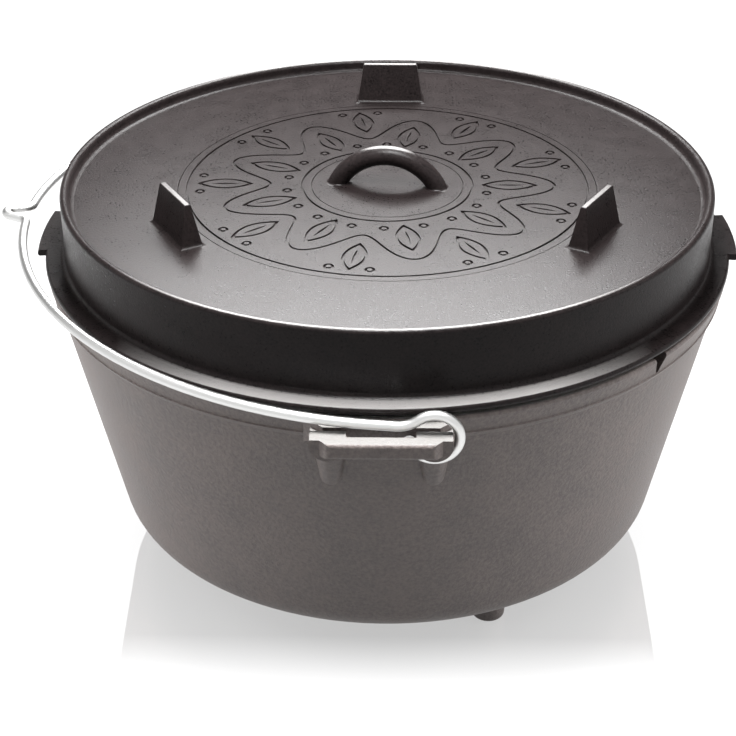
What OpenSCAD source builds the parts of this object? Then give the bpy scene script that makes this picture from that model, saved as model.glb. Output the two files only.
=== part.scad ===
// Camp dutch oven: a footed iron pot, a flanged lid that turns over to stand on its own feet,
// and a wire bail.
// Millimetres, +Z up. The pot's axis is the Z axis and the legs stand on Z = 0.
// The ears face -Y and +Y, and the bail lies folded towards -X.

/* [Output] */
// Piece to build, or all of them

/* [Pot] */
// Outside radius of the wall at the rim
pot_rim_radius = 202.7; // [150:0.1:260]
// Outside radius where the wall's line meets the floor
pot_floor_radius = 167.2; // [110:0.1:220]
// Height of the pot from its floor to its rim
pot_height = 169; // [100:0.5:260]
// Thickness of the wall
pot_wall = 5.6; // [4:0.1:10]
// Thickness of the floor
pot_floor = 6; // [4:0.1:12]
// Outside radius of the corner between wall and floor
pot_corner = 20; // [8:0.5:50]
// Inside radius of the same corner
pot_inner_corner = 17; // [6:0.5:50]
// Height of the thicker band under the rim
collar_height = 12; // [4:0.5:40]
// How far that band stands out from the wall
collar_rise = 1.2; // [0.4:0.1:4]
// How far the casting line along that band's foot stands out
line_rise = 0.6; // [0.2:0.1:1.5]
// Width of the rim's rounded outer edge
rim_round = 1.4; // [0.4:0.1:3]
// Height of that edge
rim_edge = 1.8; // [0.5:0.1:4]

/* [Cable notch] */
// Direction of the V notch in the rim, degrees from +X
notch_angle = -42.4; // [-180:0.1:180]
// Width of the notch at the rim
notch_width = 10; // [4:0.5:30]
// Width of the notch at its bottom
notch_tip = 1.6; // [0.5:0.1:4]
// Depth of the notch below the rim
notch_depth = 11; // [4:0.5:30]

/* [Legs] */
// Height of the legs under the floor
leg_height = 28; // [15:0.5:80]
// Radius of a leg where it meets the floor
leg_top_radius = 12; // [6:0.5:20]
// Radius of a leg at the ground
leg_foot_radius = 10; // [5:0.5:18]
// Rounding of a leg's lower edge
leg_round = 2.5; // [1:0.5:6]
// Fillet between a leg and the floor
leg_fillet = 6; // [1:0.5:12]
// Radius of the circle that the legs stand on
leg_circle = 128; // [60:0.5:140]
// Direction of the first leg, degrees from +X
leg_turn = -60.5; // [-180:0.5:180]

/* [Ears] */
// How far an ear's top lies below the rim
ear_drop = 1.5; // [0:0.5:20]
// How far the ear's root stands out from the collar
root_rise = 5.3; // [3:0.1:20]
// Length of the root along the rim at its face
root_length = 60; // [50:1:140]
// Height of the root's face
root_land = 6; // [3:0.5:20]
// Gap between the root and the bar, where the wire runs
ear_slot = 7.6; // [6.5:0.1:20]
// Depth of the bar, front to back
bar_depth = 9.2; // [6:0.1:20]
// Height of the bar
bar_height = 9; // [6:0.1:20]
// Length of the bar at its back edge
bar_back_length = 71; // [40:0.5:140]
// Length of the bar at its front edge
bar_front_length = 54; // [30:0.5:120]
// Rounding of the bar's long edges
bar_round = 2; // [0.5:0.1:4]
// Distance of each arm from the middle of the ear
arm_offset = 27; // [20:0.5:60]
// How far the end pads reach back from the bar
pad_depth = 4.3; // [2:0.1:6.5]
// Depth of the groove over each arm
groove_depth = 4; // [2:0.1:8]
// How far the arm's centre lies below the ear's top
arm_drop = 3; // [0:0.1:8]
// Radius of the tapered gusset under each arm, at its top
gusset_top_radius = 10.5; // [6:0.1:14]
// Radius of the gusset's rounded lower end
gusset_end_radius = 6; // [4:0.1:10]
// How far the lower end stands out from the wall
gusset_rise = 4.5; // [1:0.1:6]
// How far the gussets run down from the ear's top
gusset_drop = 45; // [30:0.5:100]

/* [Bail] */
// Diameter of the wire
wire = 5.4; // [4:0.1:6]
// Radius of an eye, to the middle of the wire
eye_radius = 13; // [11:0.1:20]
// Gap between an eye and the arm that it turns on
eye_clearance = 0.6; // [0.3:0.1:2]
// How far round an eye's tip reaches, degrees from +X
eye_tip_angle = -172; // [-180:1:-90]
// Radius of the bend from the run up into the eye
bend_radius = 16; // [8:0.5:40]
// Height of the run above the arm's centre
run_rise = 5; // [2:0.1:9]
// How far the middle of the bow lies from the pot's axis
bow_shift = 5; // [0:0.5:15]
// Angle of the bail above level when it lies folded
bail_rest = 4; // [0:0.5:20]
// How far the hook kink stands out from the bow
kink_reach = 13.5; // [8:0.5:30]
// Distance of each root of the kink from its middle
kink_half = 13; // [12.5:0.5:30]
// Bend radius at the roots of the kink
kink_root_radius = 6; // [4:0.5:10]
// Bend radius at the tip of the kink
kink_tip_radius = 5.5; // [4:0.5:10]

/* [Lid] */
// How far the flange overhangs the pot's collar
lid_overhang = 1.1; // [0.2:0.1:6]
// Width of the flange's ledge outside the wall
flange_ledge = 11.8; // [6:0.1:30]
// Thickness of the flange
flange_thickness = 3.8; // [3:0.1:8]
// Width of the flange's rounded edge
flange_edge = 1.4; // [1:0.1:4]
// Open gap between the flange and the pot's rim
lid_gap = 2.7; // [0.8:0.1:6]
// Gap between the seat and the pot's rim
seat_gap = 0.3; // [0.1:0.1:1]
// Width of the seat that rests on the rim
seat_width = 3.4; // [1.5:0.1:6]
// Depth of the locating lip inside the pot's mouth
lip_depth = 4; // [2:0.5:12]
// Gap between the locating lip and the pot's mouth
lip_clearance = 0.9; // [0.4:0.1:3]
// Height of the lid from the flange to the coal rim
lid_rise = 39; // [22:0.5:80]
// Thickness of the lid's wall
lid_wall = 5.6; // [4:0.1:10]
// Thickness of the coal rim
coal_rim = 4.8; // [3:0.1:8]
// Depth of the coal tray below its rim
tray_depth = 7.3; // [3:0.1:20]
// Width of the fillet inside the coal tray
tray_fillet = 3; // [1:0.5:5]
// Thickness of the deck
deck_thickness = 6; // [4:0.1:12]
// Width of the fillet between the flange and the wall
flange_fillet = 3; // [1:0.5:11]
// Height of those fillets and of the coal rim's crown, as a share of their width
oval_share = 0.9; // [0.6:0.05:0.95]
// Fillet under the deck
dome_fillet = 9; // [2:0.5:20]
// How far the lift tabs stand out from the flange
tab_reach = 4.8; // [3:0.1:12]
// Angle that each lift tab covers
tab_angle = 15; // [8:1:40]

/* [Lid band] */
// Inner radius of the shallow sunk band in the deck
band_inner = 45; // [30:0.5:100]
// Outer radius of that band
band_outer = 125; // [60:0.5:160]
// Depth of that band
band_depth = 1.2; // [0.4:0.1:3]

/* [Lid feet] */
// Height of the feet above the deck
foot_height = 24.6; // [12:0.1:50]
// Radius of the circle that the feet stand on
foot_circle = 136; // [80:0.5:170]
// Width of a foot at the deck
foot_base_width = 42.3; // [20:0.1:80]
// Width of a foot at its top
foot_top_width = 34.8; // [12:0.1:70]
// Depth of a foot at the deck
foot_base_depth = 12.4; // [8:0.1:30]
// Depth of a foot at its top
foot_top_depth = 3.4; // [2.5:0.1:24]
// Rounding of a foot's top edges
foot_round = 0.8; // [0.4:0.1:1.2]
// Fillet between a foot and the deck
foot_fillet = 2.5; // [0.5:0.1:6]
// Fillet at a foot's two ends, as a share of the other
foot_end_share = 0.9; // [0.5:0.05:0.95]

/* [Lid grip] */
// Thickness of the arched grip
grip_thickness = 11.6; // [8:0.1:20]
// Radius of the arch, to its middle
arch_radius = 33.2; // [24:0.1:60]
// How far the arch's centre lies below the deck
arch_drop = 14.6; // [0:0.1:30]
// Fillet between the grip and the deck
grip_fillet = 2.4; // [0.5:0.1:5]
// Turn of the grip about the pot's axis
grip_turn = -7; // [-90:1:90]

/* [Hidden] */
$fn = 96;
// Small overlap for clean joins and cuts
bite = 1;
// Smallest overlap that fuses two faces, and half the thickness of the seams between lengths of wire
seam = 0.02;
seam_half = 0.1;
// Heights, from the ground up
floor_z = leg_height;
rim_z = floor_z + pot_height;
ear_z = rim_z - ear_drop;
eye_z = ear_z - arm_drop;
flange_z = rim_z + lid_gap;
ledge_z = flange_z + flange_thickness;
coal_z = ledge_z + lid_rise;
deck_z = coal_z - tray_depth;
// Wall line of the pot
taper = (pot_rim_radius - pot_floor_radius) / pot_height;
wall_across = pot_wall * norm([1, taper]);
mouth_radius = pot_rim_radius - wall_across;
collar_radius = pot_rim_radius + collar_rise;
// Ears and bail
root_face = collar_radius + root_rise;
bar_back = root_face + ear_slot;
bar_front = bar_back + bar_depth;
run_y = root_face + ear_slot / 2;
arm_radius = eye_radius - wire / 2 - eye_clearance;
bend_x = sqrt(pow(eye_radius + bend_radius, 2) - pow(run_rise + bend_radius, 2));
bend_angle = atan2(run_rise + bend_radius, bend_x);
bow_x = -arm_offset - bow_shift;
// Middle of the kink's root bend and of its tip, in the bow's plane about the bow's middle
kink_root_turn = asin(kink_half / (run_y + kink_root_radius));
kink_root = (run_y + kink_root_radius) * [-cos(kink_root_turn), sin(kink_root_turn)];
kink_tip = [-(run_y + kink_reach - kink_tip_radius), 0];
kink_span = kink_tip - kink_root;
kink_bends = kink_root_radius + kink_tip_radius;
kink_heading = atan2(kink_span[1], kink_span[0]) + 360 - asin(kink_bends / norm(kink_span));
kink_side = [-sin(kink_heading), cos(kink_heading)];
// Lid
flange_radius = collar_radius + lid_overhang;
lid_radius = flange_radius - flange_ledge;
tray_radius = lid_radius - coal_rim;
dome_radius = lid_radius - lid_wall;
tab_radius = flange_radius + tab_reach;

// Outside radius of the pot's wall at a height
function wall_radius(z) = pot_floor_radius + (z - floor_z) * taper;
// Unit vector
function unit(v) = v / norm(v);
// Half of the angle at b between a and c
function half_angle(a, b, c) = acos(unit(a - b) * unit(c - b)) / 2;
// Where a fillet of radius r at b starts on the side of a
function fillet_start(a, b, c, r) = b + unit(a - b) * r / tan(half_angle(a, b, c));
// Centre of the same fillet
function fillet_centre(a, b, c, r) = b + unit(unit(a - b) + unit(c - b)) * r / sin(half_angle(a, b, c));

pot();
lid();
bail();

// Extrudes a profile drawn as (y, z) along X
module along_x(length) {
    rotate([90, 0, 90])
        linear_extrude(length, center = true)
            children();
}

// Hollow fillet in the corner at b between a level face towards a and a side towards c.
// Its root reaches into the level face by a depth that is upward when positive.
module hollow_fillet(a, b, c, r, root) {
    on_face = fillet_start(a, b, c, r);
    centre = fillet_centre(a, b, c, r);
    difference() {
        polygon([b + [0, root], on_face + [0, root], on_face, centre, fillet_start(c, b, a, r), b]);
        translate(centre) circle(r);
    }
}

// Half section of a vessel: floor corner b is rounded, a and c are the axis and the rim
module vessel_section(floor_radius, bottom, rim_radius, top, corner) {
    a = [0, bottom];
    b = [floor_radius, bottom];
    c = [rim_radius, top];
    polygon([a, fillet_start(a, b, c, corner), fillet_start(c, b, a, corner), c, [0, top]]);
    translate(fillet_centre(a, b, c, corner)) circle(corner);
}

// Pot casting
module pot() {
    color([0.32, 0.30, 0.29])
        difference() {
            union() {
                rotate_extrude() {
                    vessel_section(pot_floor_radius, floor_z, pot_rim_radius, rim_z, pot_corner);
                    collar_section();
                }
                for (turn = [0, 120, 240]) rotate(leg_turn + turn) translate([leg_circle, 0, 0]) leg();
                ear();
                mirror([0, 1, 0]) ear();
            }
            pot_cavity();
            cable_notch();
        }
}

// Thicker band under the rim, with a rounded outer edge and a casting line along its foot
module collar_section() {
    foot = rim_z - collar_height;
    run_out = foot - 3 * collar_rise;
    polygon([
        [wall_radius(run_out) - pot_wall / 2, run_out],
        [wall_radius(run_out), run_out],
        [wall_radius(foot) + collar_rise, foot - line_rise],
        [wall_radius(foot) + collar_rise + line_rise, foot],
        [wall_radius(foot) + collar_rise, foot + line_rise],
        [collar_radius, rim_z - rim_edge],
        [collar_radius - rim_round, rim_z],
        [pot_rim_radius - pot_wall / 2, rim_z],
    ]);
    translate([collar_radius - rim_round, rim_z - rim_edge]) scale([rim_round, rim_edge]) circle(1);
}

// Inside of the pot
module pot_cavity() {
    bottom = floor_z + pot_floor;
    top = rim_z + bite;
    floor_radius = wall_radius(bottom) - wall_across;
    top_radius = wall_radius(top) - wall_across;
    rotate_extrude() vessel_section(floor_radius, bottom, top_radius, top, pot_inner_corner);
}

// V notch in the rim for a probe cable
module cable_notch() {
    rotate(notch_angle)
        translate([collar_radius, 0, rim_z])
            along_x(4 * (pot_wall + collar_rise))
                polygon([
                    [-notch_width / 2, bite],
                    [-notch_width / 2, 0],
                    [-notch_tip / 2, -notch_depth],
                    [notch_tip / 2, -notch_depth],
                    [notch_width / 2, 0],
                    [notch_width / 2, bite],
                ]);
}

// Tapered leg with a rounded foot, filleted into the floor
module leg() {
    root_z = leg_height + pot_floor / 2;
    foot = [leg_foot_radius, leg_round];
    top = [leg_top_radius, leg_height];
    rotate_extrude() {
        polygon([
            [0, 0],
            [leg_foot_radius - leg_round, 0],
            foot,
            top,
            [leg_top_radius, root_z],
            [0, root_z],
        ]);
        translate([leg_foot_radius - leg_round, leg_round]) circle(leg_round);
        hollow_fillet([leg_top_radius + leg_height, leg_height], top, foot, leg_fillet, pot_floor / 2);
    }
}

// Ear on the +Y side: root, two arms, bar and gussets
module ear() {
    ear_root();
    ear_bar();
    for (side = [-1, 1]) {
        translate([side * arm_offset, 0, eye_z]) ear_arm();
        translate([side * arm_offset, 0, 0]) ear_gusset();
    }
}

// Thickening of the rim that the arms grow from, run out into the wall below and at its ends
module ear_root() {
    inner = mouth_radius - 2 * root_rise;
    spread = root_length / 2 + 2 * root_rise;
    intersection() {
        translate([0, 0, rim_z - pot_height / 2])
            linear_extrude(pot_height)
                polygon([
                    [-spread, inner],
                    [-spread, collar_radius - root_rise],
                    [-root_length / 2, root_face],
                    [root_length / 2, root_face],
                    [spread, collar_radius - root_rise],
                    [spread, inner],
                ]);
        along_x(4 * spread)
            polygon([
                [inner, ear_z],
                [root_face, ear_z],
                [root_face, ear_z - root_land],
                [wall_radius(ear_z - 3 * root_land) - pot_wall / 2, ear_z - 3 * root_land],
                [inner, ear_z - 3 * root_land],
            ]);
    }
}

// Bar in front of the slot, with rounded long edges and slanted ends
module ear_bar() {
    intersection() {
        translate([0, 0, ear_z - bar_height - bite])
            linear_extrude(bar_height + 2 * bite)
                bar_plan();
        along_x(2 * bar_back_length)
            translate([bar_back, ear_z - bar_height])
                rounded_box(bar_depth, bar_height, bar_round);
    }
}

// Plan of the bar: wide at the back, with rounded front corners
module bar_plan() {
    a = [0, bar_front];
    b = [bar_front_length / 2, bar_front];
    c = [bar_back_length / 2, bar_back];
    corner = bar_depth / 2;
    for (side = [-1, 1])
        scale([side, 1]) {
            polygon([
                [0, bar_back],
                a,
                fillet_start(a, b, c, corner),
                fillet_start(c, b, a, corner),
                c,
            ]);
            translate(fillet_centre(a, b, c, corner)) circle(corner);
        }
}

// Rectangle with round corners, from the origin
module rounded_box(width, height, r) {
    translate([r, 0]) square([width - 2 * r, height]);
    translate([0, r]) square([width, height - 2 * r]);
    for (x = [r, width - r], y = [r, height - r]) translate([x, y]) circle(r);
}

// Arm that an eye turns on: round below, flat above, with a groove behind the end pad
module ear_arm() {
    length = bar_back + bar_depth / 2 - mouth_radius;
    difference() {
        translate([0, mouth_radius, 0])
            rotate([-90, 0, 0])
                cylinder(r = arm_radius, h = length);
        translate([-2 * arm_radius, mouth_radius - bite, arm_drop])
            cube([4 * arm_radius, length + 2 * bite, 2 * arm_radius]);
        translate([-2 * arm_radius, mouth_radius - bite, arm_drop - groove_depth])
            cube([4 * arm_radius, bar_back - pad_depth - mouth_radius + bite, 2 * arm_radius]);
    }
}

// Tapered gusset from under an arm down the wall, with a rounded lower end
module ear_gusset() {
    end_z = ear_z - gusset_drop + gusset_end_radius;
    top = [root_face - gusset_top_radius, eye_z - arm_radius / 2];
    end = [wall_radius(end_z) + gusset_rise - gusset_end_radius, end_z];
    lean = atan2(top[0] - end[0], top[1] - end[1]);
    translate([0, end[0], end[1]]) {
        rotate([-lean, 0, 0])
            cylinder(r1 = gusset_end_radius, r2 = gusset_top_radius, h = norm(top - end));
        sphere(gusset_end_radius);
    }
}

// Lid casting
module lid() {
    color([0.22, 0.21, 0.21])
        difference() {
            union() {
                rotate_extrude() {
                    lid_shell();
                    flange_section(flange_radius);
                    seat_section();
                }
                for (side = [0, 180]) rotate(side) lift_tab();
                for (turn = [90, 210, 330])
                    rotate(turn) translate([foot_circle, 0, deck_z - seam]) lid_foot();
                rotate(grip_turn) lid_grip();
            }
            lid_dome();
            deck_band();
        }
}

// Deck and wall of the lid with a crowned coal rim, as a half section
module lid_shell() {
    crown = oval_share * coal_rim / 2;
    translate([0, flange_z]) square([lid_radius, deck_z - flange_z]);
    translate([tray_radius, flange_z]) square([coal_rim, coal_z - crown - flange_z]);
    translate([lid_radius - coal_rim / 2, coal_z - crown]) scale([coal_rim / 2, crown]) circle(1);
    translate([tray_radius, deck_z]) oval_fillet(tray_fillet);
    translate([lid_radius, ledge_z]) scale([-1, 1]) oval_fillet(flange_fillet);
}

// Hollow oval fillet from the origin towards -X and up
module oval_fillet(width) {
    height = oval_share * width;
    difference() {
        translate([-width, -bite]) square([width + bite, height + bite]);
        translate([-width, height]) scale([width, height]) circle(1);
    }
}

// Shallow sunk band round the grip
module deck_band() {
    rotate_extrude()
        translate([band_inner, deck_z - band_depth])
            square([band_outer - band_inner, band_depth + bite]);
}

// Flange with a rounded edge out to a radius, as a half section
module flange_section(radius) {
    inner = lid_radius - lid_wall / 2;
    half = flange_thickness / 2;
    translate([inner, flange_z]) square([radius - flange_edge - inner, flange_thickness]);
    translate([radius - flange_edge, flange_z + half]) scale([flange_edge, half]) circle(1);
}

// Lift tab: a stretch of the flange with a larger radius
module lift_tab() {
    rotate(-tab_angle / 2)
        rotate_extrude(angle = tab_angle)
            flange_section(tab_radius);
}

// Seat on the pot's rim and the lip that locates the lid in its mouth
module seat_section() {
    lip_radius = mouth_radius - lip_clearance;
    lip_round = lip_depth / 3;
    seat_z = rim_z + seat_gap;
    translate([dome_radius - bite, seat_z])
        square([mouth_radius + seat_width - dome_radius + bite, flange_z + bite - seat_z]);
    translate([dome_radius - bite, rim_z - lip_depth + lip_round])
        square([lip_radius - dome_radius + bite, lip_depth + seat_gap - lip_round + bite]);
    translate([dome_radius - bite, rim_z - lip_depth])
        square([lip_radius - lip_round - dome_radius + bite, lip_depth]);
    translate([lip_radius - lip_round, rim_z - lip_depth + lip_round]) circle(lip_round);
}

// Hollow under the deck
module lid_dome() {
    roof = deck_z - deck_thickness;
    a = [0, roof];
    b = [dome_radius, roof];
    c = [dome_radius, rim_z - lip_depth - bite];
    rotate_extrude() {
        polygon([a, fillet_start(a, b, c, dome_fillet), fillet_start(c, b, a, dome_fillet), c, [0, c[1]]]);
        translate(fillet_centre(a, b, c, dome_fillet)) circle(dome_fillet);
    }
}

// Wedge foot: the lid stands on these when it is turned over
module lid_foot() {
    root = deck_thickness / 2;
    end_fillet = foot_end_share * foot_fillet;
    intersection() {
        rotate([90, 0, 0])
            linear_extrude(2 * foot_base_width, center = true)
                foot_section(foot_base_depth / 2, foot_top_depth / 2, foot_fillet, root);
        along_x(4 * foot_base_depth)
            translate([0, -seam])
                foot_section(foot_base_width / 2, foot_top_width / 2, end_fillet, root);
    }
}

// Trapezium from the deck up, with rounded top corners, a filleted base and a root in the deck
module foot_section(base_half, top_half, fillet, root) {
    a = [0, foot_height];
    b = [top_half, foot_height];
    c = [base_half, 0];
    d = [base_half + foot_height, 0];
    fillet_end = fillet_start(d, c, b, fillet);
    fillet_middle = fillet_centre(b, c, d, fillet);
    for (side = [-1, 1])
        scale([side, 1]) {
            difference() {
                polygon([
                    [0, -root],
                    a,
                    fillet_start(a, b, c, foot_round),
                    fillet_start(c, b, a, foot_round),
                    fillet_start(b, c, d, fillet),
                    fillet_middle,
                    fillet_end,
                    fillet_end - [0, root],
                ]);
                translate(fillet_middle) circle(fillet);
            }
            translate(fillet_centre(a, b, c, foot_round)) circle(foot_round);
        }
}

// Arched grip over the middle of the deck, with a fillet round each end
module lid_grip() {
    centre_z = deck_z - arch_drop;
    root = deck_thickness / 2;
    root_z = deck_z - root;
    end_x = sqrt(pow(arch_radius, 2) - pow(arch_drop, 2));
    grip_radius = grip_thickness / 2;
    from = grip_radius - grip_fillet / 4;
    intersection() {
        translate([0, 0, centre_z])
            rotate([90, 0, 0])
                rotate_extrude(angle = 180)
                    translate([arch_radius, 0]) circle(grip_radius);
        translate([-2 * arch_radius, -arch_radius, root_z])
            cube([4 * arch_radius, 2 * arch_radius, 2 * arch_radius]);
    }
    for (side = [-1, 1])
        translate([side * end_x, 0, deck_z - seam])
            rotate_extrude() {
                translate([0, -root]) square([from, root + grip_fillet]);
                hollow_fillet([arch_radius, 0], [from, 0], [from, arch_radius], grip_fillet, -root);
            }
}

// Wire bail, lying folded on the arms' axis
module bail() {
    color([0.78, 0.79, 0.80])
        translate([arm_offset, 0, eye_z])
            rotate([0, bail_rest, 0]) {
                bail_side();
                mirror([0, 1, 0]) bail_side();
                bail_tip();
            }
}

// Arc of wire about Z, from one angle to another
module wire_arc(radius, from, to) {
    rotate(from)
        rotate_extrude(angle = to - from)
            translate([radius, 0]) circle(wire / 2);
}

// Thin seam at one end of an arc of wire
module wire_seam(radius, angle) {
    rotate(angle)
        translate([radius, 0, 0])
            rotate([90, 0, 0])
                cylinder(r = wire / 2 + seam, h = 2 * seam_half, center = true);
}

// Straight wire between two points of a level plane
module wire_line(p, q) {
    translate([p[0], p[1], 0])
        rotate([0, 90, atan2(q[1] - p[1], q[0] - p[0])])
            cylinder(r = wire / 2, h = norm(q - p));
}

// The +Y half of the bail: eye, bend, run, bow and one leg of the kink
module bail_side() {
    translate([0, run_y, 0])
        rotate([90, 0, 0]) {
            wire_arc(eye_radius, eye_tip_angle, 180 - bend_angle);
            wire_seam(eye_radius, 180 - bend_angle);
            translate([-bend_x, run_rise + bend_radius]) {
                wire_arc(bend_radius, -90, -bend_angle);
                wire_seam(bend_radius, -90);
            }
        }
    translate([0, 0, run_rise]) {
        wire_line([-bend_x, run_y], [bow_x, run_y]);
        translate([bow_x, 0, 0]) {
            wire_arc(run_y, 90, 180 - kink_root_turn);
            wire_seam(run_y, 90);
            wire_seam(run_y, 180 - kink_root_turn);
            translate(kink_root) {
                wire_arc(kink_root_radius, kink_heading - 270, -kink_root_turn);
                wire_seam(kink_root_radius, kink_heading - 270);
            }
            wire_line(kink_root + kink_side * kink_root_radius, kink_tip - kink_side * kink_tip_radius);
        }
    }
}

// Tip of the kink
module bail_tip() {
    translate([bow_x + kink_tip[0], 0, run_rise]) {
        wire_arc(kink_tip_radius, kink_heading - 90, 450 - kink_heading);
        wire_seam(kink_tip_radius, kink_heading - 90);
        wire_seam(kink_tip_radius, 450 - kink_heading);
    }
}
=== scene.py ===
"""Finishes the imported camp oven: seasoned iron, an incised lid, a zinc-plated bail and a white studio.

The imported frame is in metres, +Z up. The pot's axis is the Z axis, its legs stand on Z = 0,
and the bail lies folded towards -X.
"""
import math

import bpy
from bpy.props import FloatProperty, FloatVectorProperty, IntProperty, PointerProperty
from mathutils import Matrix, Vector


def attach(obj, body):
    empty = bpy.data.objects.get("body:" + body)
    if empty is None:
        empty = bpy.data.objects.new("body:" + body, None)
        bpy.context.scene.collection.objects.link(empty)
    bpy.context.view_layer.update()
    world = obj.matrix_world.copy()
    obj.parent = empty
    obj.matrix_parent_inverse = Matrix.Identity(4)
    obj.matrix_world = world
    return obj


bl_info = {
    "name": "Camp oven finish",
    "version": (1, 0, 0),
    "blender": (4, 5, 0),
    "location": "View3D > Sidebar > Camp oven",
    "description": "Gives a packed camp oven its iron, its wire and its studio",
    "category": "Object",
}

MM = 0.001
WHITE = (1, 1, 1, 1)
# Side of the square picture that the camera was matched to
PICTURE_PX = 736
SENSOR_MM = 36
# Most values of a mixed noise lie between these
NOISE_SPREAD = (0.38, 0.62)
# Where iron is rubbed bare. Each pair is a fade from none to full: the upward part of the normal,
# the distance from the level that stays dark, and the distance from the line through the ears
FACING_UP = (0.9, 0.99)
OFF_DARK_LEVEL = (3 * MM, 5 * MM)
NEAR_EAR_LINE = (145 * MM, 85 * MM)
# Light of the room, from behind the camera to behind the oven: Y of the direction, and strength
ROOM_SPAN = (-0.9, 0.2)
ROOM_LIGHT = (0.06, 0.3)
# Dark panel in blurred reflections: Y and Z of the direction as it fades in, and strength
PANEL_BEHIND = (0.1, 0.5)
PANEL_ABOVE = (0.03, 0.1)
PANEL_LIGHT = 0.05
# Points of the vine's outlines
LEAF_POINTS = 36
BERRY_POINTS = 20
STEM_POINTS = 432
RING_POINTS = 144

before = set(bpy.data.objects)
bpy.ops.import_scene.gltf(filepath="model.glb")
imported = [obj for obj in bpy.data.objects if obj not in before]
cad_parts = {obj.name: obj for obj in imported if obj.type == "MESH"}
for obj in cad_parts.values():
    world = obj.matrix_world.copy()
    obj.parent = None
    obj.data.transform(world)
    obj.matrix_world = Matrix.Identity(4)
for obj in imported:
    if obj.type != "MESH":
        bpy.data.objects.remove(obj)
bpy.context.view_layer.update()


def linear(hex_colour):
    """Linear RGBA of an sRGB hex colour such as 6B625C."""
    channels = [int(hex_colour[i:i + 2], 16) / 255 for i in (0, 2, 4)]
    return [c / 12.92 if c <= 0.04045 else ((c + 0.055) / 1.055) ** 2.4 for c in channels] + [1]


def add_node(tree, kind, inputs=None, **settings):
    """Adds a node, sets its properties, and fills its inputs with values or with other nodes' outputs."""
    node = tree.nodes.new(kind)
    for name, value in settings.items():
        setattr(node, name, value)
    for key, value in (inputs or {}).items():
        if isinstance(value, bpy.types.NodeSocket):
            tree.links.new(value, node.inputs[key])
        else:
            node.inputs[key].default_value = value
    return node


def colour(label, about, hex_colour):
    """A colour property whose default is an sRGB hex value."""
    return FloatVectorProperty(
        name=label, description=about, subtype="COLOR", size=4, min=0, max=1, default=linear(hex_colour))


def length(label, about, size_mm):
    """A length property whose default is given in millimetres."""
    return FloatProperty(
        name=label, description=about, subtype="DISTANCE", unit="LENGTH", precision=5, default=size_mm * MM)


def share(label, about, value):
    """A property from 0 to 1."""
    return FloatProperty(name=label, description=about, subtype="FACTOR", min=0, max=1, default=value)


def power(label, about, watts):
    """A lamp's power in watts."""
    return FloatProperty(name=label, description=about, unit="POWER", default=watts)


class OvenPotIron(bpy.types.PropertyGroup):
    """Grainy, mottled iron of the pot."""
    shade: colour("Shade", "Dark tone of the mottled iron", "4D4543")
    light: colour("Light", "Light tone of the mottled iron", "706764")
    bare: colour("Bare", "Iron where the bail rubs the ears", "7D7B79")
    grain: length("Grain", "Width of the sand grain", 2.2)
    grain_depth: length("Grain depth", "Depth of the sand grain", 0.5)
    cloud: length("Cloud", "Width of the clouds in the baked oil", 36)
    cloud_share: share("Cloud share", "Share of the clouds in the mottling, beside the grain", 0.36)
    rough_shade: share("Shade roughness", "Roughness of the dark tone", 0.38)
    rough_light: share("Light roughness", "Roughness of the light tone", 0.56)
    shine: share("Shine", "Specular level of the baked oil", 0.55)


class OvenLidIron(bpy.types.PropertyGroup):
    """Finer, darker iron of the lid."""
    shade: colour("Shade", "Dark tone of the smooth iron", "110E0E")
    light: colour("Light", "Light tone of the smooth iron", "1F1A1A")
    bare: colour("Bare", "Bare iron where the lid rubs", "747271")
    grain: length("Grain", "Width of the sand grain", 1.4)
    grain_depth: length("Grain depth", "Depth of the sand grain", 0.15)
    cloud: length("Cloud", "Width of the clouds in the baked oil", 14)
    cloud_share: share("Cloud share", "Share of the clouds in the mottling, beside the grain", 0.25)
    rough_shade: share("Shade roughness", "Roughness of the dark tone", 0.27)
    rough_light: share("Light roughness", "Roughness of the light tone", 0.385)
    shine: share("Shine", "Specular level of the baked oil", 0.12)


class OvenWire(bpy.types.PropertyGroup):
    """Zinc plating of the bail."""
    zinc: colour("Zinc", "Colour of the plated wire", "D0D0CF")
    grain: length("Grain", "Width of the plating's grain", 1.5)
    grain_depth: length("Grain depth", "Depth of the plating's grain", 0.02)
    rough_least: share("Least roughness", "Roughness of the smoothest grain", 0.34)
    rough_most: share("Most roughness", "Roughness of the dullest grain", 0.46)


class OvenVine(bpy.types.PropertyGroup):
    """Incised vine that fills the sunk band in the lid's deck."""
    band_inner: length("Band inner radius", "Inner radius of the sunk band", 45)
    band_outer: length("Band outer radius", "Outer radius of the sunk band", 125)
    edge_gap: length("Edge gap", "Gap between the plate and the band's edges", 0.5)
    line: length("Line", "Width of an incised line", 1.5)
    ring_inset: length("Ring inset", "Distance of the incised rings from the plate's edges", 4.5)
    waves: IntProperty(name="Waves", description="Waves of the stem in one turn", default=9)
    sway: length("Sway", "How far the stem swings to each side", 15)
    leaf_length: length("Leaf length", "Length of a leaf", 34)
    leaf_width: length("Leaf width", "Width of a leaf", 14)
    leaf_shift: length("Leaf shift", "How far a leaf's middle lies from the middle of the band", 12)
    berry: length("Berry", "Radius of a berry", 3)
    berry_side: length("Berry side", "Distance of a berry from its leaf's midrib", 11.5)


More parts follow.
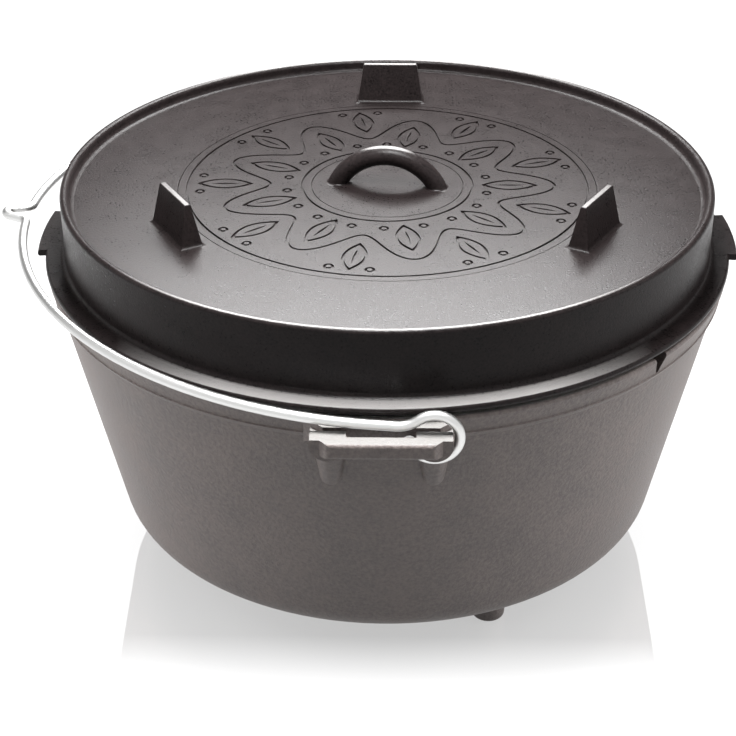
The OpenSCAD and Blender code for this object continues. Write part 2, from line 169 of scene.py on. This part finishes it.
class OvenStudio(bpy.types.PropertyGroup):
    """Camera, floor and softboxes."""
    camera_place: FloatVectorProperty(
        name="Camera place", description="Where the camera stands", subtype="XYZ", unit="LENGTH",
        default=(0.0136, -0.9586, 0.6714))
    camera_pitch: FloatProperty(
        name="Camera pitch", description="How far the camera looks down", subtype="ANGLE",
        default=math.radians(31.08))
    camera_heading: FloatProperty(
        name="Camera heading", description="How far the camera is turned to the left", subtype="ANGLE",
        default=math.radians(0.81))
    focal_px: FloatProperty(
        name="Focal length", description="Focal length in picture pixels", default=1749.1)
    axis_px: FloatVectorProperty(
        name="Optical axis", description="Pixel that the optical axis meets", size=2,
        default=(387.4, 387.15))
    floor_colour: colour("Floor", "Colour of the backlit acrylic floor", "808080")
    floor_side: length("Floor side", "Side of the square floor", 12000)
    mirror: share("Mirror", "Strength of the oven's mirror image in the floor", 0.36)
    mirror_full: length("Mirror full", "How far in front of the pot's axis the image starts to fade", 135)
    mirror_end: length("Mirror end", "How far in front of the pot's axis the image has faded", 178)
    glow_under: share("Glow under", "Backlight of the floor under the oven", 0.78)
    glow_open: share("Glow open", "Backlight of the open floor", 0.95)
    glow_inner: length("Glow inner radius", "Radius at which the backlight starts to rise", 140)
    glow_outer: length("Glow outer radius", "Radius from which the floor is open", 210)
    back_softbox: power("Back softbox", "Power of the softbox behind", 16)
    top_softbox: power("Top softbox", "Power of the softbox above", 7.5)
    side_softbox: power("Side softbox", "Power of each side softbox", 35)


def new_material(name):
    """An empty node material with its output node."""
    material = bpy.data.materials.new(name)
    material.use_nodes = True
    material.node_tree.nodes.clear()
    return material, add_node(material.node_tree, "ShaderNodeOutputMaterial")


def rubbed_bare(tree, base, bare, dark_level):
    """Turns a colour to bare iron along the line of the ears, on all that faces up there but one level.

    That is where the bail, the lid lifter and a stacked pot rub the seasoning off.
    """
    texture = add_node(tree, "ShaderNodeTexCoord").outputs
    upward = add_node(tree, "ShaderNodeSeparateXYZ", {0: texture["Normal"]}).outputs["Z"]
    place = add_node(tree, "ShaderNodeSeparateXYZ", {0: texture["Object"]}).outputs
    rise = add_node(tree, "ShaderNodeMath", {0: place["Z"], 1: dark_level}, operation="SUBTRACT").outputs[0]
    off_level = add_node(tree, "ShaderNodeMath", {0: rise}, operation="ABSOLUTE").outputs[0]
    aside = add_node(tree, "ShaderNodeMath", {0: place["X"]}, operation="ABSOLUTE").outputs[0]
    rubbed = 1
    for value, (none, full) in ((upward, FACING_UP), (off_level, OFF_DARK_LEVEL), (aside, NEAR_EAR_LINE)):
        fade = add_node(tree, "ShaderNodeMapRange", {
            "Value": value, "From Min": none, "From Max": full}).outputs[0]
        rubbed = add_node(tree, "ShaderNodeMath", {0: rubbed, 1: fade}, operation="MULTIPLY").outputs[0]
    return add_node(tree, "ShaderNodeMix", {0: rubbed, 6: base, 7: bare}, data_type="RGBA").outputs[2]


def cast_iron(name, iron, dark_level):
    """Grey iron poured in sand and baked with oil: a dark satin film over a sand grain, clouded by the oil.

    Real sand grain is about half a millimetre wide. It is drawn a few times coarser, so that it shows.
    """
    material, output = new_material(name)
    tree = material.node_tree
    place = add_node(tree, "ShaderNodeTexCoord").outputs["Object"]
    grain = add_node(tree, "ShaderNodeTexNoise", {
        "Vector": place, "Scale": 1 / iron.grain, "Detail": 3, "Roughness": 0.65}).outputs["Fac"]
    clouds = add_node(tree, "ShaderNodeTexNoise", {
        "Vector": place, "Scale": 1 / iron.cloud, "Detail": 4, "Roughness": 0.6}).outputs["Fac"]
    blotch = add_node(tree, "ShaderNodeMix", {
        0: iron.cloud_share, 2: grain, 3: clouds}, data_type="FLOAT").outputs[0]
    tone = add_node(tree, "ShaderNodeMapRange", {
        "Value": blotch, "From Min": NOISE_SPREAD[0], "From Max": NOISE_SPREAD[1]}).outputs[0]
    base = add_node(tree, "ShaderNodeMix", {
        0: tone, 6: iron.shade, 7: iron.light}, data_type="RGBA").outputs[2]
    worn = rubbed_bare(tree, base, iron.bare, dark_level)
    rough = add_node(tree, "ShaderNodeMapRange", {
        "Value": tone, "To Min": iron.rough_shade, "To Max": iron.rough_light}).outputs[0]
    bump = add_node(tree, "ShaderNodeBump", {"Height": grain, "Distance": iron.grain_depth}).outputs[0]
    # The film is oil, not metal
    shader = add_node(tree, "ShaderNodeBsdfPrincipled", {
        "Base Color": worn, "Roughness": rough, "Normal": bump,
        "IOR": 1.45, "Specular IOR Level": iron.shine})
    tree.links.new(shader.outputs[0], output.inputs["Surface"])
    return material


def zinc_wire(name, wire):
    """Drawn steel wire with bright zinc plating: almost white, with a soft gloss.

    The plating's crystals are too fine to see, and are drawn coarser, so that the gloss isn't quite even.
    """
    material, output = new_material(name)
    tree = material.node_tree
    place = add_node(tree, "ShaderNodeTexCoord").outputs["Object"]
    grain = add_node(tree, "ShaderNodeTexNoise", {
        "Vector": place, "Scale": 1 / wire.grain, "Detail": 3}).outputs["Fac"]
    rough = add_node(tree, "ShaderNodeMapRange", {
        "Value": grain, "To Min": wire.rough_least, "To Max": wire.rough_most}).outputs[0]
    bump = add_node(tree, "ShaderNodeBump", {"Height": grain, "Distance": wire.grain_depth}).outputs[0]
    shader = add_node(tree, "ShaderNodeBsdfPrincipled", {
        "Base Color": wire.zinc, "Metallic": 1, "Roughness": rough, "Normal": bump})
    tree.links.new(shader.outputs[0], output.inputs["Surface"])
    return material


def dress(node, material):
    """Gives a CAD node its finish."""
    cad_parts[node].material_slots[0].material = material


def surface_height(node, x, y):
    """Height of a CAD node's upper surface over a point."""
    hit, place, _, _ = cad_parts[node].ray_cast((x, y, 1), (0, 0, -1))
    if not hit:
        raise RuntimeError(f"nothing of {node} lies under ({x}, {y})")
    return place.z


def deck_height(vine):
    """Height of the lid's deck, a little outside the sunk band."""
    return surface_height("lid", vine.band_outer + 3 * vine.ring_inset, 0)


class OVEN_OT_pot(bpy.types.Operator):
    """Gives the pot its grainy seasoned iron"""
    bl_idname = "oven.pot"
    bl_label = "Pot iron"

    def execute(self, context):
        inner_floor = surface_height("pot", 0, 0)
        dress("pot", cast_iron("seasoned_pot_iron", context.scene.oven_pot_iron, inner_floor))
        return {"FINISHED"}


class OVEN_OT_lid(bpy.types.Operator):
    """Gives the lid its finer, darker iron"""
    bl_idname = "oven.lid"
    bl_label = "Lid iron"

    def execute(self, context):
        deck = deck_height(context.scene.oven_vine)
        dress("lid", cast_iron("seasoned_lid_iron", context.scene.oven_lid_iron, deck))
        return {"FINISHED"}


def leaf_outline(middle, size, width):
    """Closed outline of a leaf that points along X, with two sharp ends."""
    turns = [2 * math.pi * point / LEAF_POINTS for point in range(LEAF_POINTS)]
    return [(middle + size / 2 * math.cos(turn), width / 2 * math.sin(turn) * abs(math.sin(turn)))
            for turn in turns]


def berry_outline(x, y, radius):
    """Closed round outline."""
    turns = [2 * math.pi * point / BERRY_POINTS for point in range(BERRY_POINTS)]
    return [(x + radius * math.cos(turn), y + radius * math.sin(turn)) for turn in turns]


def vine_unit(vine):
    """Outlines of one leaf with its midrib and two berries, nested so that every second area is a line."""
    middle = -vine.leaf_shift
    back = middle - vine.leaf_length / 2 + vine.berry
    outlines = [
        leaf_outline(middle, vine.leaf_length, vine.leaf_width),
        leaf_outline(middle, vine.leaf_length - 4 * vine.line, vine.leaf_width - 2 * vine.line),
        leaf_outline(middle, vine.leaf_length / 2, vine.line),
    ]
    for side in (-1, 1):
        for radius in (vine.berry, vine.berry - vine.line):
            outlines.append(berry_outline(back, side * vine.berry_side, radius))
    unit = bpy.data.curves.new("vine_unit", "CURVE")
    unit.dimensions = "3D"
    for outline in outlines:
        spline = unit.splines.new("POLY")
        spline.points.add(len(outline) - 1)
        spline.use_cyclic_u = True
        for point, (x, y) in zip(spline.points, outline):
            point.co = (x, y, 0, 1)
    return bpy.data.objects.new("vine_unit", unit)


def vine_tree():
    """Geometry nodes: a plate with a running vine left open as lines, from one unit of leaf and berries."""
    tree = bpy.data.node_groups.new("incised_vine", "GeometryNodeTree")
    tree.interface.new_socket("Geometry", in_out="INPUT", socket_type="NodeSocketGeometry")
    for name in ("Inner radius", "Outer radius", "Ring inset", "Line", "Sway", "Depth"):
        tree.interface.new_socket(name, in_out="INPUT", socket_type="NodeSocketFloat")
    tree.interface.new_socket("Waves", in_out="INPUT", socket_type="NodeSocketInt")
    tree.interface.new_socket("Iron", in_out="INPUT", socket_type="NodeSocketMaterial")
    tree.interface.new_socket("Geometry", in_out="OUTPUT", socket_type="NodeSocketGeometry")
    given = add_node(tree, "NodeGroupInput").outputs
    span = add_node(tree, "ShaderNodeMath", {
        0: given["Inner radius"], 1: given["Outer radius"]}, operation="ADD").outputs[0]
    middle = add_node(tree, "ShaderNodeMath", {0: span, 1: 0.5}, operation="MULTIPLY").outputs[0]
    half_line = add_node(tree, "ShaderNodeMath", {
        0: given["Line"], 1: 0.5}, operation="MULTIPLY").outputs[0]

    # Stem: a circle that sways in and out, and its two edges
    place = add_node(tree, "GeometryNodeInputPosition").outputs[0]
    axes = add_node(tree, "ShaderNodeSeparateXYZ", {0: place}).outputs
    angle = add_node(tree, "ShaderNodeMath", {0: axes["Y"], 1: axes["X"]}, operation="ARCTAN2").outputs[0]
    phase = add_node(tree, "ShaderNodeMath", {0: angle, 1: given["Waves"]}, operation="MULTIPLY").outputs[0]
    wave = add_node(tree, "ShaderNodeMath", {0: phase}, operation="COSINE").outputs[0]
    swing = add_node(tree, "ShaderNodeMath", {0: wave, 1: given["Sway"]}, operation="MULTIPLY").outputs[0]
    outward = add_node(tree, "ShaderNodeVectorMath", {0: place}, operation="NORMALIZE").outputs[0]
    offset = add_node(tree, "ShaderNodeVectorMath", {
        0: outward, "Scale": swing}, operation="SCALE").outputs[0]
    circle = add_node(tree, "GeometryNodeCurvePrimitiveCircle", {
        "Resolution": STEM_POINTS, "Radius": middle}).outputs[0]
    stem = add_node(tree, "GeometryNodeSetPosition", {"Geometry": circle, "Offset": offset}).outputs[0]
    tangent = add_node(tree, "GeometryNodeInputTangent").outputs[0]
    aside = add_node(tree, "ShaderNodeVectorMath", {
        0: tangent, 1: (0, 0, 1)}, operation="CROSS_PRODUCT").outputs[0]
    outlines = []
    for side in (-1, 1):
        reach = add_node(tree, "ShaderNodeMath", {0: half_line, 1: side}, operation="MULTIPLY").outputs[0]
        step = add_node(tree, "ShaderNodeVectorMath", {
            0: aside, "Scale": reach}, operation="SCALE").outputs[0]
        outlines.append(add_node(tree, "GeometryNodeSetPosition", {
            "Geometry": stem, "Offset": step}).outputs[0])

    # Plate edges, and an incised ring along each
    for edge, inward in (("Inner radius", 1), ("Outer radius", -1)):
        ring = add_node(tree, "ShaderNodeMath", {
            0: given["Ring inset"], 1: inward, 2: given[edge]}, operation="MULTIPLY_ADD").outputs[0]
        line = add_node(tree, "ShaderNodeMath", {
            0: given["Line"], 1: inward, 2: ring}, operation="MULTIPLY_ADD").outputs[0]
        for radius in (given[edge], ring, line):
            outlines.append(add_node(tree, "GeometryNodeCurvePrimitiveCircle", {
                "Resolution": RING_POINTS, "Radius": radius}).outputs[0])

    # One leaf in every bend of the stem, on its hollow side
    count = add_node(tree, "ShaderNodeMath", {0: given["Waves"], 1: 2}, operation="MULTIPLY").outputs[0]
    bends = add_node(tree, "GeometryNodeMeshCircle", {"Vertices": count, "Radius": middle}).outputs[0]
    index = add_node(tree, "GeometryNodeInputIndex").outputs[0]
    odd = add_node(tree, "ShaderNodeMath", {0: index, 1: 2}, operation="MODULO").outputs[0]
    turn = add_node(tree, "ShaderNodeMath", {
        0: odd, 1: math.pi, 2: angle}, operation="MULTIPLY_ADD").outputs[0]
    heading = add_node(tree, "ShaderNodeCombineXYZ", {"Z": turn}).outputs[0]
    leaves = add_node(tree, "GeometryNodeInstanceOnPoints", {
        "Points": bends, "Instance": given["Geometry"], "Rotation": heading}).outputs[0]
    outlines.append(add_node(tree, "GeometryNodeRealizeInstances", {0: leaves}).outputs[0])

    # Fill between the outlines, give the plate its depth, and finish it
    joined = add_node(tree, "GeometryNodeJoinGeometry")
    for outline in outlines:
        tree.links.new(outline, joined.inputs[0])
    top = add_node(tree, "GeometryNodeFillCurve", {0: joined.outputs[0]}).outputs[0]
    under = add_node(tree, "ShaderNodeMath", {0: given["Depth"], 1: -1}, operation="MULTIPLY").outputs[0]
    down = add_node(tree, "ShaderNodeCombineXYZ", {"Z": under}).outputs[0]
    sides = add_node(tree, "GeometryNodeExtrudeMesh", {
        "Mesh": top, "Offset": down, "Offset Scale": 1, "Individual": False}).outputs[0]
    turned = add_node(tree, "GeometryNodeFlipFaces", {0: sides}).outputs[0]
    plate = add_node(tree, "GeometryNodeJoinGeometry")
    for skin in (turned, top):
        tree.links.new(skin, plate.inputs[0])
    solid = add_node(tree, "GeometryNodeMergeByDistance", {
        0: plate.outputs[0], "Distance": 0.001 * MM}).outputs[0]
    real = add_node(tree, "GeometryNodeRealizeInstances", {0: solid}).outputs[0]
    finished = add_node(tree, "GeometryNodeSetMaterial", {
        "Geometry": real, "Material": given["Iron"]}).outputs[0]
    add_node(tree, "NodeGroupOutput", {0: finished})
    return tree


class OVEN_OT_vine(bpy.types.Operator):
    """Fills the lid's sunk band with an incised vine"""
    bl_idname = "oven.vine"
    bl_label = "Incised vine"

    def execute(self, context):
        vine = context.scene.oven_vine
        deck = deck_height(vine)
        bed = surface_height("lid", (vine.band_inner + vine.band_outer) / 2, 0)
        values = {
            "Inner radius": vine.band_inner + vine.edge_gap,
            "Outer radius": vine.band_outer - vine.edge_gap,
            "Ring inset": vine.ring_inset,
            "Line": vine.line,
            "Sway": vine.sway,
            "Depth": deck - bed,
            "Waves": vine.waves,
            "Iron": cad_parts["lid"].material_slots[0].material,
        }
        unit = vine_unit(vine)
        context.scene.collection.objects.link(unit)
        modifier = unit.modifiers.new("incised_vine", "NODES")
        tree = vine_tree()
        modifier.node_group = tree
        for socket in tree.interface.items_tree:
            if socket.in_out == "INPUT" and socket.name in values:
                modifier[socket.identifier] = values[socket.name]
        context.view_layer.update()
        mesh = bpy.data.meshes.new_from_object(unit.evaluated_get(context.evaluated_depsgraph_get()))
        bpy.data.objects.remove(unit)
        for vertex in mesh.vertices:
            vertex.co.z += deck
        plate = bpy.data.objects.new("lid_vine", mesh)
        context.scene.collection.objects.link(plate)
        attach(plate, "lid")
        return {"FINISHED"}


class OVEN_OT_bail(bpy.types.Operator):
    """Gives the bail its zinc plating"""
    bl_idname = "oven.bail"
    bl_label = "Bail wire"

    def execute(self, context):
        dress("bail", zinc_wire("zinc_plated_wire", context.scene.oven_wire))
        return {"FINISHED"}


def background_rays(tree):
    """1 for the rays that show the background: the camera's own, those in reflections and through glass."""
    ray = add_node(tree, "ShaderNodeLightPath").outputs
    shown = ray["Is Camera Ray"]
    for kind in ("Is Glossy Ray", "Is Transmission Ray"):
        shown = add_node(tree, "ShaderNodeMath", {0: shown, 1: ray[kind]}, operation="MAXIMUM").outputs[0]
    return shown


def white_acrylic(name, studio):
    """Backlit acrylic sheet: white, with the oven's soft shadow and a faint mirror image.

    The mirror image fades out in front of the oven, and the backlight is weaker under it.
    """
    material, output = new_material(name)
    tree = material.node_tree
    place = add_node(tree, "ShaderNodeTexCoord").outputs["Object"]
    depth = add_node(tree, "ShaderNodeSeparateXYZ", {0: place}).outputs["Y"]
    mirrored = add_node(tree, "ShaderNodeMapRange", {
        "Value": depth, "From Min": -studio.mirror_end, "From Max": -studio.mirror_full,
        "To Max": studio.mirror}).outputs[0]
    distance = add_node(tree, "ShaderNodeVectorMath", {0: place}, operation="LENGTH").outputs["Value"]
    backlight = add_node(tree, "ShaderNodeMapRange", {
        "Value": distance, "From Min": studio.glow_inner, "From Max": studio.glow_outer,
        "To Min": studio.glow_under, "To Max": studio.glow_open}).outputs[0]
    glow = add_node(tree, "ShaderNodeMath", {
        0: background_rays(tree), 1: backlight}, operation="MULTIPLY").outputs[0]
    sheet = add_node(tree, "ShaderNodeBsdfPrincipled", {
        "Base Color": studio.floor_colour, "Roughness": 0.9, "Specular IOR Level": 0,
        "Emission Color": WHITE, "Emission Strength": glow})
    mirror = add_node(tree, "ShaderNodeBsdfAnisotropic", {"Color": WHITE, "Roughness": 0})
    both = add_node(tree, "ShaderNodeMixShader", {0: mirrored, 1: sheet.outputs[0], 2: mirror.outputs[0]})
    tree.links.new(both.outputs[0], output.inputs["Surface"])
    return material


def softbox(name, watts, place, target, width, depth, mirrored=True):
    """A rectangular area lamp that faces a point, and that shows in reflections or only lights."""
    lamp = bpy.data.lights.new(name, "AREA")
    lamp.shape = "RECTANGLE"
    lamp.size = width
    lamp.size_y = depth
    lamp.energy = watts
    holder = bpy.data.objects.new(name, lamp)
    holder.location = place
    holder.rotation_euler = (Vector(target) - Vector(place)).to_track_quat("-Z", "Y").to_euler()
    holder.visible_camera = False
    holder.visible_glossy = mirrored
    bpy.context.scene.collection.objects.link(holder)


def set_world(scene):
    """Pale room, darker behind the camera. As a background it is white.

    Blurred reflections show a dark panel high up behind the oven, which shades the far side of the lid.
    """
    world = bpy.data.worlds.new("pale_room")
    world.use_nodes = True
    tree = world.node_tree
    tree.nodes.clear()
    heading = add_node(tree, "ShaderNodeTexCoord").outputs["Generated"]
    axes = add_node(tree, "ShaderNodeSeparateXYZ", {0: heading}).outputs
    room = add_node(tree, "ShaderNodeMapRange", {
        "Value": axes["Y"], "From Min": ROOM_SPAN[0], "From Max": ROOM_SPAN[1],
        "To Min": ROOM_LIGHT[0], "To Max": ROOM_LIGHT[1]}).outputs[0]
    behind = add_node(tree, "ShaderNodeMapRange", {
        "Value": axes["Y"], "From Min": PANEL_BEHIND[0], "From Max": PANEL_BEHIND[1]}).outputs[0]
    above = add_node(tree, "ShaderNodeMapRange", {
        "Value": axes["Z"], "From Min": PANEL_ABOVE[0], "From Max": PANEL_ABOVE[1]}).outputs[0]
    panel = add_node(tree, "ShaderNodeMath", {0: behind, 1: above}, operation="MULTIPLY").outputs[0]
    shaded = add_node(tree, "ShaderNodeMapRange", {
        "Value": panel, "To Min": 1, "To Max": PANEL_LIGHT}).outputs[0]
    ray = add_node(tree, "ShaderNodeLightPath").outputs
    sharp = add_node(tree, "ShaderNodeMath", {
        0: ray["Is Camera Ray"], 1: ray["Is Singular Ray"]}, operation="MAXIMUM").outputs[0]
    background = add_node(tree, "ShaderNodeMix", {
        0: sharp, 2: shaded, 3: 1}, data_type="FLOAT").outputs[0]
    strength = add_node(tree, "ShaderNodeMix", {
        0: background_rays(tree), 2: room, 3: background}, data_type="FLOAT").outputs[0]
    light = add_node(tree, "ShaderNodeBackground", {"Color": WHITE, "Strength": strength})
    add_node(tree, "ShaderNodeOutputWorld", {"Surface": light.outputs[0]})
    scene.world = world


def set_camera(scene, studio):
    """Places the camera at the matched viewpoint."""
    camera = bpy.data.cameras.new("camera")
    camera.sensor_width = SENSOR_MM
    camera.lens = studio.focal_px * SENSOR_MM / PICTURE_PX
    camera.shift_x = 0.5 - studio.axis_px[0] / PICTURE_PX
    camera.shift_y = studio.axis_px[1] / PICTURE_PX - 0.5
    holder = bpy.data.objects.new("camera", camera)
    holder.location = studio.camera_place
    holder.rotation_euler = (math.pi / 2 - studio.camera_pitch, 0, studio.camera_heading)
    scene.collection.objects.link(holder)
    scene.camera = holder


class OVEN_OT_stage(bpy.types.Operator):
    """Sets up the floor, the lights and the camera"""
    bl_idname = "oven.stage"
    bl_label = "Studio"

    def execute(self, context):
        scene = context.scene
        studio = scene.oven_studio
        half = studio.floor_side / 2
        corners = [(-half, -half, 0), (half, -half, 0), (half, half, 0), (-half, half, 0)]
        mesh = bpy.data.meshes.new("floor")
        mesh.from_pydata(corners, [], [(0, 1, 2, 3)])
        mesh.materials.append(white_acrylic("white_acrylic", studio))
        floor = bpy.data.objects.new("floor", mesh)
        scene.collection.objects.link(floor)
        set_world(scene)
        softbox(
            "back_softbox", studio.back_softbox, place=(-0.02, 0.37, 0.68), target=(-0.02, -0.17, 0.23),
            width=0.48, depth=0.26)
        softbox(
            "top_softbox", studio.top_softbox, place=(0, -0.15, 0.66), target=(0, -0.15, 0),
            width=0.16, depth=0.2)
        for side in (-1, 1):
            softbox(
                "side_softbox", studio.side_softbox, place=(1.6 * side, 0, 0.8), target=(0, 0, 0.15),
                width=1.4, depth=1.2, mirrored=False)
        scene.view_settings.view_transform = "Standard"
        set_camera(scene, studio)
        return {"FINISHED"}


class OVEN_PT_panel(bpy.types.Panel):
    """Lists the steps that finish the oven"""
    bl_label = "Camp oven"
    bl_idname = "OVEN_PT_panel"
    bl_space_type = "VIEW_3D"
    bl_region_type = "UI"
    bl_category = "Camp oven"

    def draw(self, context):
        for step in STEPS:
            self.layout.operator(step.bl_idname)


GROUPS = {
    "oven_pot_iron": OvenPotIron,
    "oven_lid_iron": OvenLidIron,
    "oven_wire": OvenWire,
    "oven_vine": OvenVine,
    "oven_studio": OvenStudio,
}
STEPS = (OVEN_OT_stage, OVEN_OT_pot, OVEN_OT_lid, OVEN_OT_vine, OVEN_OT_bail)


def register():
    for name, group in GROUPS.items():
        bpy.utils.register_class(group)
        setattr(bpy.types.Scene, name, PointerProperty(type=group))
    for kind in (*STEPS, OVEN_PT_panel):
        bpy.utils.register_class(kind)


def unregister():
    for kind in reversed((*STEPS, OVEN_PT_panel)):
        bpy.utils.unregister_class(kind)
    for name, group in GROUPS.items():
        delattr(bpy.types.Scene, name)
        bpy.utils.unregister_class(group)


def main():
    register()
    bpy.ops.oven.stage()
    bpy.ops.oven.pot()
    bpy.ops.oven.lid()
    bpy.ops.oven.vine()
    bpy.ops.oven.bail()


if __name__ == "__main__":
    main()
